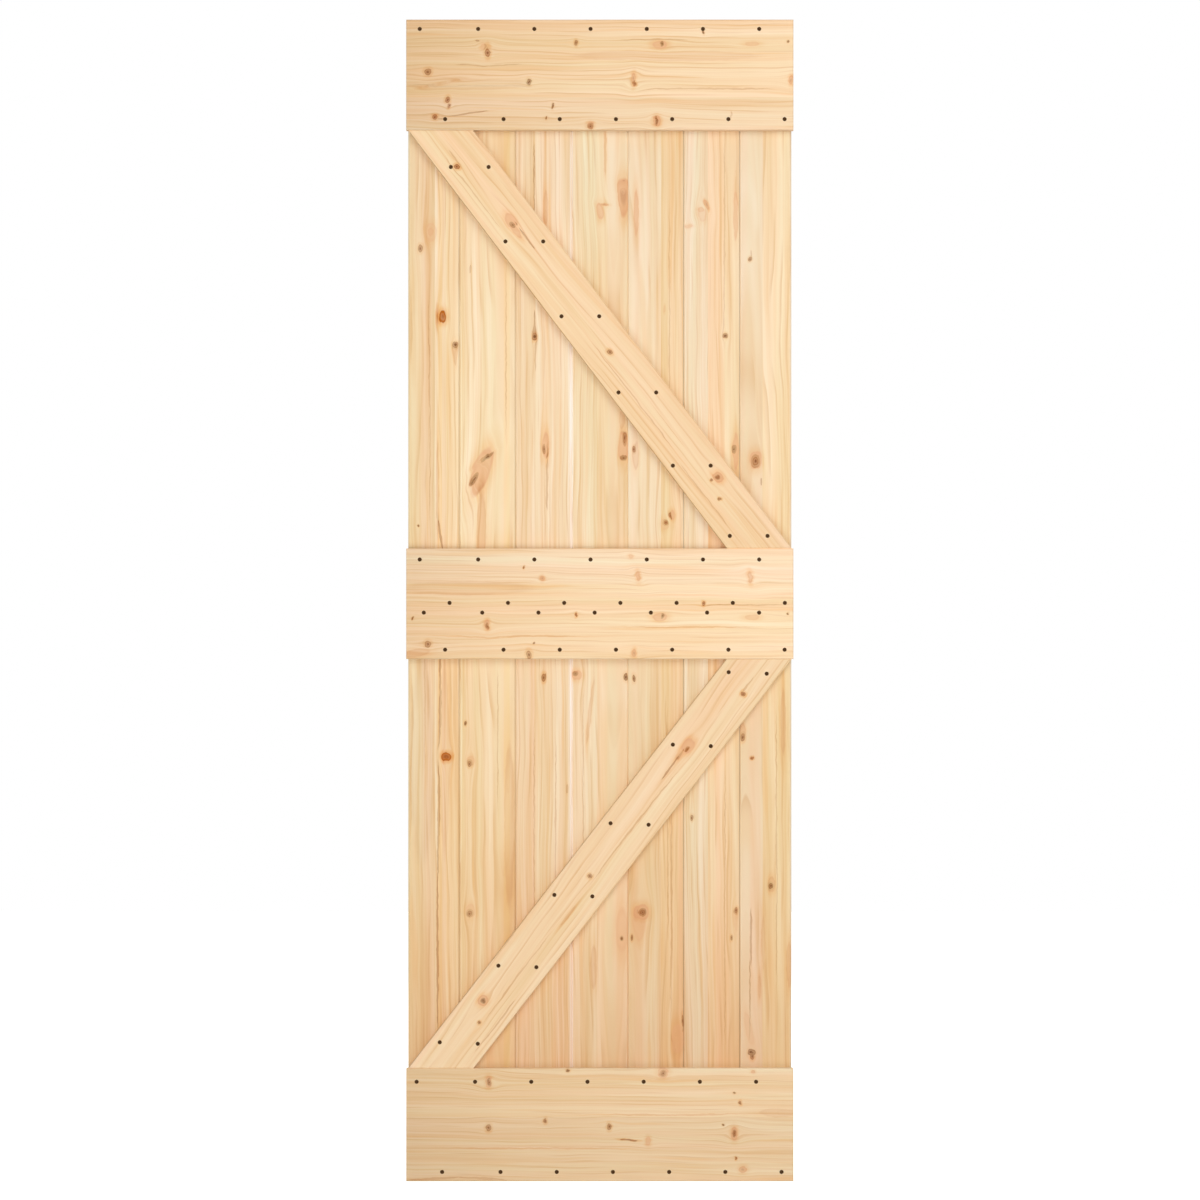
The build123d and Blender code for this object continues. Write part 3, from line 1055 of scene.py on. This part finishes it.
# Three staves with salmon knots at the top and on the right
PLANK_6 = plank_board(
    6,
    base=(0.897, 0.683, 0.444),
    seed=73.0,
    pith=(65.0, 70.0, -0.006),
    # The first colour factor is a painted highlight on the joint's bevel, the last painted shade in the
    # joint
    tones=[
        (-50.8, (1.02, 1.07, 1.10)),
        (-48.4, (0.985, 1.02, 1.06)),
        (-7.5, (1.01, 0.965, 0.90)),
        (22, (1.0, 0.96, 0.88)),
        (24, (1.01, 1.0, 0.95)),
        (42, (1.0, 0.975, 0.92)),
        (48.8, (0.74, 0.78, 0.82)),
    ],
    joints=(-7.5, 23),
    marks=[
        Mark(191, 1767, 9, 4, "oval", -0.3),
        Mark(183, 1758, 4, 6, "salmon"),
        Mark(186, 1748, 12, 6, "faint"),
        Mark(161, 1728, 3, 7, "faint"),
        Mark(227, 1529, 5, 3.5, "red"),
        Mark(227, 1529, 3, 2, "dark"),
        Mark(226, 1700, 190, 1.2, "line"),
        Mark(246, 1748, 46, 4.5, "salmon"),
        Mark(246, 1320, 34, 4.5, "salmon"),
        Mark(243, 1324, 5, 3, "brown"),
        Mark(167, 657, 5, 3, "brown"),
        Mark(247, 489, 5, 3.5, "red"),
        Mark(246, 470, 20, 4, "faint"),
        Mark(238, 438, 5, 2, "brown"),
        Mark(227, 500, 250, 1.0, "line"),
    ],
)

# A trimmed plank with a dull left stave, which has most of its knots
PLANK_7 = plank_board(
    7,
    base=(0.895, 0.683, 0.438),
    seed=79.0,
    pith=(-40.0, 80.0, 0.010),
    # The first colour factor is a painted highlight on the joint's bevel, the last a painted highlight on
    # the leaf's right edge
    tones=[
        (-50.8, (1.02, 1.06, 1.10)),
        (-48, (0.98, 0.98, 1.0)),
        (-10, (1.01, 1.01, 0.96)),
        (8, (1.01, 1.01, 0.94)),
        (39.5, (1.0, 1.06, 1.16)),
    ],
    joints=(-10,),
    marks=[
        Mark(272, 1668, 4, 3, "brown"),
        Mark(274, 1676, 9, 1.2, "line"),
        Mark(282, 1304, 16, 8, "salmon"),
        Mark(282, 1302, 8, 5.5, "red"),
        Mark(293, 1266, 7, 1.4, "crack"),
        Mark(259, 802, 7, 4, "brown"),
        Mark(258, 815, 14, 4, "flame"),
        Mark(276, 765, 3, 3, "red"),
        Mark(310, 533, 5, 4, "dark"),
        Mark(311, 536, 14, 5, "flame"),
        Mark(274, 440, 52, 1.8, "crack"),
        Mark(272, 345, 56, 1.2, "crack"),
        Mark(296, 430, 50, 3, "flame"),
        Mark(289, 350, 22, 2.5, "flame"),
        Mark(275, 232, 6, 5, "dark"),
        Mark(276, 224, 6, 4, "red"),
        Mark(270, 275, 30, 6, "faint", -0.2),
        Mark(332, 830, 60, 5, "flame"),
        Mark(343, 390, 42, 5, "flame"),
        Mark(320, 600, 250, 1.2, "line"),
    ],
)

RAILS = (TOP_RAIL, MIDDLE_RAIL, BOTTOM_RAIL)
BRACES = (UPPER_BRACE, LOWER_BRACE)
PLANKS = (PLANK_1, PLANK_2, PLANK_3, PLANK_4, PLANK_5, PLANK_6, PLANK_7)


def dress_wood():
    """Gives every board's CAD nodes the material of their slot."""
    made = {board.slot: wood(board) for board in RAILS + BRACES + PLANKS}
    for entry in frame["record"]["subparts"]:
        if entry["material_slot"] in made:
            node = frame["nodes"][entry["node"]]
            node.material_slots[0].material = made[entry["material_slot"]]


def screw_material():
    """Dark phosphate on steel: nearly black, brown, a little worn and uneven."""
    material, shader, s = new_material("dark_phosphate")
    x, y, z = (s.math("MULTIPLY", length, GRIT_PACE) for length in s.split(s.place_mm()))
    grit = s.noise(x, y, z)
    s.feed(shader.inputs["Base Color"], s.ramp(grit, SCREW_BROWNS))
    shader.inputs["Roughness"].default_value = SCREW_ROUGHNESS
    shader.inputs["Specular IOR Level"].default_value = SCREW_SPECULAR
    s.relief(shader, grit, GRIT_STRENGTH, GRIT_RELIEF)
    return material


def ring(mesh, radius, depth):
    """A circle of new points round the Y axis, at this depth along it."""
    turns = (2 * math.pi * number / ROUND_STEPS for number in range(ROUND_STEPS))
    return [mesh.verts.new((radius * math.cos(turn), depth, radius * math.sin(turn))) for turn in turns]


def bridge(mesh, first, second):
    """Faces between two loops with as many points."""
    count = len(first)
    for number in range(count):
        after = (number + 1) % count
        mesh.faces.new((first[number], second[number], second[after], first[after]))


def cross(mesh, depth, reach, arm):
    """The twelve points of a cross recess at this depth."""
    quarter = [(reach, -arm), (reach, arm), (arm, arm)]
    points = []
    for turn in range(4):
        angle = turn * math.pi / 2
        for x, z in quarter:
            turned = (x * math.cos(angle) - z * math.sin(angle), x * math.sin(angle) + z * math.cos(angle))
            points.append(mesh.verts.new((turned[0], depth, turned[1])))
    return points


def edges_of(mesh, loop):
    """The edges round a loop of points, made where they are missing."""
    made = []
    for first, second in zip(loop, loop[1:] + loop[:1]):
        made.append(mesh.edges.get((first, second)) or mesh.edges.new((first, second)))
    return made


def add_thread(mesh):
    """A ridge of triangular section that winds down the shank and fades at the point."""
    start, end = SMOOTH_SHANK, SCREW_LENGTH - THREAD_STOP
    steps = int((end - start) / THREAD_PITCH * THREAD_STEPS)
    half = THREAD_HALF * THREAD_PITCH
    loops = []
    for number in range(steps + 1):
        depth = start + (end - start) * number / steps
        angle = 2 * math.pi * number / THREAD_STEPS
        left = min(1.0, (SCREW_LENGTH - depth) / POINT_LENGTH)
        grown = min(1.0, number / THREAD_STEPS)
        inner = CORE_RADIUS * left * THREAD_ROOT
        outer = inner + (SHANK_RADIUS * left - inner) * grown
        section = [(inner, depth - half), (outer, depth), (inner, depth + half)]
        loops.append([mesh.verts.new((r * math.cos(angle), d, r * math.sin(angle))) for r, d in section])
    for first, second in zip(loops, loops[1:]):
        bridge(mesh, first, second)
    mesh.faces.new(loops[0])
    mesh.faces.new(reversed(loops[-1]))


def screw_form():
    """One round countersunk screw along +Y, with its head's face at the origin."""
    mesh = bmesh.new()
    rim_radius = HEAD_RADIUS - HEAD_SUNK
    face = ring(mesh, rim_radius - HEAD_BEVEL, 0.0)
    loops = [
        face,
        ring(mesh, rim_radius, HEAD_BEVEL * BEVEL_SLOPE),
        ring(mesh, NECK_RADIUS, HEAD_DEPTH - HEAD_SUNK),
        ring(mesh, SMOOTH_RADIUS, SMOOTH_SHANK),
        ring(mesh, CORE_RADIUS, SMOOTH_SHANK + THREAD_RUN_IN),
        ring(mesh, CORE_RADIUS, SCREW_LENGTH - POINT_LENGTH),
    ]
    for first, second in zip(loops, loops[1:]):
        bridge(mesh, first, second)
    tip = mesh.verts.new((0.0, SCREW_LENGTH - HEAD_SUNK, 0.0))
    last = loops[-1]
    for first, second in zip(last, last[1:] + last[:1]):
        mesh.faces.new((first, tip, second))
    mouth = cross(mesh, 0.0, RECESS_REACH, RECESS_ARM)
    floor = cross(mesh, RECESS_DEPTH, RECESS_FLOOR_REACH, RECESS_FLOOR_ARM)
    edges = edges_of(mesh, face) + edges_of(mesh, mouth)
    bmesh.ops.triangle_fill(mesh, use_beauty=True, use_dissolve=False, edges=edges)
    bridge(mesh, mouth, floor)
    mesh.faces.new(floor)
    add_thread(mesh)
    bmesh.ops.recalc_face_normals(mesh, faces=mesh.faces)
    return mesh


def screw_centres(node):
    """Where a CAD node's screws are: the middle of each of its separate solids, as (x, z)."""
    mesh = bmesh.new()
    mesh.from_mesh(node.data)
    bmesh.ops.remove_doubles(mesh, verts=mesh.verts, dist=WELD_REACH)
    left = set(mesh.verts)
    centres = []
    while left:
        group, queue = [], [left.pop()]
        while queue:
            vertex = queue.pop()
            group.append(vertex.co)
            for edge in vertex.link_edges:
                other = edge.other_vert(vertex)
                if other in left:
                    left.remove(other)
                    queue.append(other)
        xs = [point.x for point in group]
        zs = [point.z for point in group]
        centres.append(((min(xs) + max(xs)) / 2, (min(zs) + max(zs)) / 2))
    mesh.free()
    return sorted(centres)


def add_screws(material):
    """A piece for each group of screws, with a detailed screw in the place of each solid."""
    form = screw_form()
    pattern = bpy.data.meshes.new("screw_pattern")
    form.to_mesh(pattern)
    form.free()
    for name, node in sorted(frame["nodes"].items()):
        if not name.endswith("_screws"):
            continue
        joined = bmesh.new()
        for number, (x, z) in enumerate(screw_centres(node)):
            before = len(joined.verts)
            joined.from_mesh(pattern)
            joined.verts.ensure_lookup_table()
            turn = Matrix.Rotation(number * SCREW_TURN, 4, "Y")
            place = Matrix.Translation((x, DOOR_LOW.y + HEAD_SUNK, z)) @ turn
            for vertex in joined.verts[before:]:
                vertex.co = place @ vertex.co
        mesh = bpy.data.meshes.new(f"{name}_detailed")
        joined.to_mesh(mesh)
        joined.free()
        mesh.materials.append(material)
        piece = bpy.data.objects.new(f"{name}_detailed", mesh)
        scene.collection.objects.link(piece)
        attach(piece, "root")
        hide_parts(name)
    bpy.data.meshes.remove(pattern)


def seen_as(s, strength):
    """This strength for rays from the camera or from gloss or glass, and 0 for the rest."""
    path = s.add("ShaderNodeLightPath").outputs
    seen = s.math("MAXIMUM", path["Is Camera Ray"], path["Is Glossy Ray"])
    return s.math("MULTIPLY", s.math("MAXIMUM", seen, path["Is Transmission Ray"]), strength)


def add_world():
    """A sky that lights the door, and plain white where the camera sees it."""
    world = bpy.data.worlds.new("studio")
    world.use_nodes = True
    scene.world = world
    s = Shader(world.node_tree)
    background = world.node_tree.nodes["Background"]
    background.inputs["Color"].default_value = WHITE
    seen = seen_as(s, 1.0)
    height = s.split(s.add("ShaderNodeTexCoord").outputs["Generated"])[2]
    sky = s.step(height, *SKY_CHANGE, SKY_AHEAD, SKY_OVERHEAD)
    left = s.math("SUBTRACT", 1.0, sky)
    s.feed(background.inputs["Strength"], s.math("MULTIPLY_ADD", seen, left, sky))


def add_floor():
    """A pale floor that reads white and keeps the door's shadow."""
    mesh = bpy.data.meshes.new("floor")
    reach = FLOOR_REACH
    corners = [(-reach, -reach, 0), (reach, -reach, 0), (reach, reach, 0), (-reach, reach, 0)]
    mesh.from_pydata(corners, [], [(0, 1, 2, 3)])
    material, shader, s = new_material("floor_white")
    shader.inputs["Base Color"].default_value = FLOOR_GREY
    shader.inputs["Roughness"].default_value = FLOOR_ROUGHNESS
    shader.inputs["Specular IOR Level"].default_value = 0.0
    shader.inputs["Emission Color"].default_value = WHITE
    s.feed(shader.inputs["Emission Strength"], seen_as(s, FLOOR_GLOW))
    mesh.materials.append(material)
    floor = bpy.data.objects.new("floor", mesh)
    scene.collection.objects.link(floor)


def add_lamp(name, place, size, watts):
    """A soft lamp, wide and high as given, that faces the middle of the door."""
    lamp = bpy.data.lights.new(name, "AREA")
    lamp.shape = "RECTANGLE"
    lamp.size, lamp.size_y = size
    lamp.energy = watts
    holder = bpy.data.objects.new(name, lamp)
    scene.collection.objects.link(holder)
    holder.location = place
    target = (DOOR_LOW + DOOR_HIGH) / 2
    holder.rotation_euler = (target - place).to_track_quat("-Z", "Y").to_euler()


def add_camera():
    """The photo's view: square to the front, from far off."""
    lens = bpy.data.cameras.new("camera")
    lens.lens = LENS_MM
    lens.sensor_width = SENSOR_MM
    camera = bpy.data.objects.new("camera", lens)
    scene.collection.objects.link(camera)
    away = FRAME_WIDTH * LENS_MM / SENSOR_MM
    camera.location = (CAMERA_X, DOOR_LOW.y - away, CAMERA_Z)
    camera.rotation_euler = (math.pi / 2, 0.0, 0.0)
    scene.camera = camera


dress_wood()
add_screws(screw_material())
add_world()
add_floor()
add_lamp("key", KEY_PLACE, KEY_SIZE, KEY_WATTS)
add_lamp("low", LOW_PLACE, LOW_SIZE, LOW_WATTS)
add_lamp("back", BACK_PLACE, BACK_SIZE, BACK_WATTS)
add_camera()
scene.view_settings.view_transform = "Standard"
